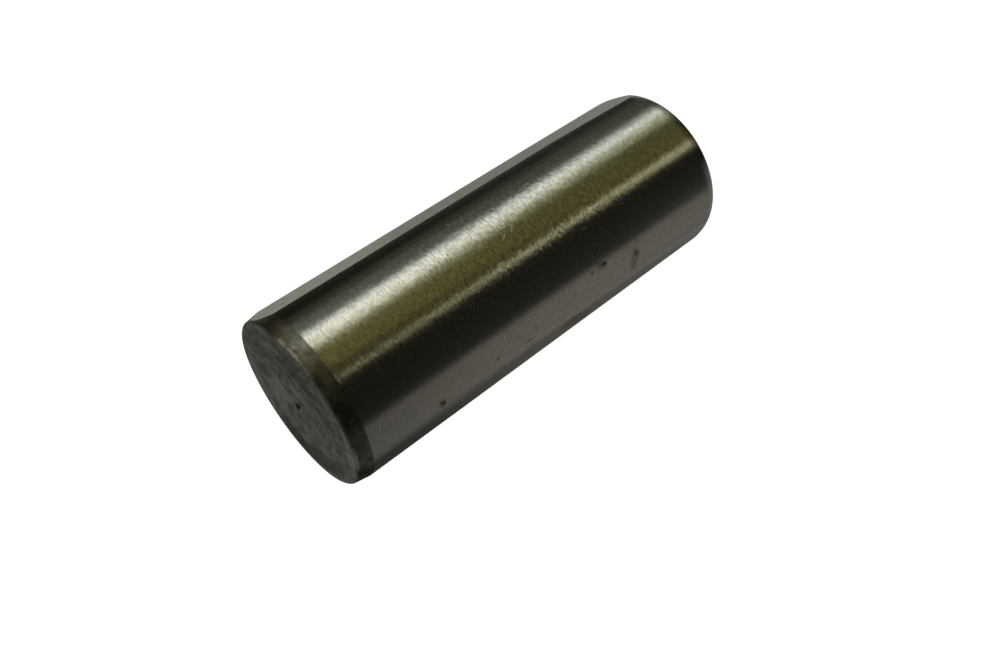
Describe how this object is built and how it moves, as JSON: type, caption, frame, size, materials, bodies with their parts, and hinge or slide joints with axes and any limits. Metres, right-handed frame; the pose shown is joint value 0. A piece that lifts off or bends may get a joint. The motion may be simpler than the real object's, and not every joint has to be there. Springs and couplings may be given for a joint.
{
  "type": "dowel pin",
  "caption": "Short round ground steel pin with a slim lead chamfer at one end, a rounded corner at the other and a narrow vent flat along its side.",
  "frame": {"origin": "middle of the tail end's flat face, under the pin as it stands on that end", "axes": "+Z along the pin's axis from the rounded tail end to the chamfered lead end; +X straight out of the vent flat; +Y across the flat"},
  "size_m": [0.0118, 0.012, 0.032],
  "materials": {
    "ground_steel": "hardened steel, satin from grinding, with fine rings round the body, lengthwise grinding marks on the flat, turning rings on the lead end and a few small dark pits and bright scratches"
  },
  "bodies": {
    "root": {"dowel_pin": "ground_steel"}
  },
  "joints": []
}
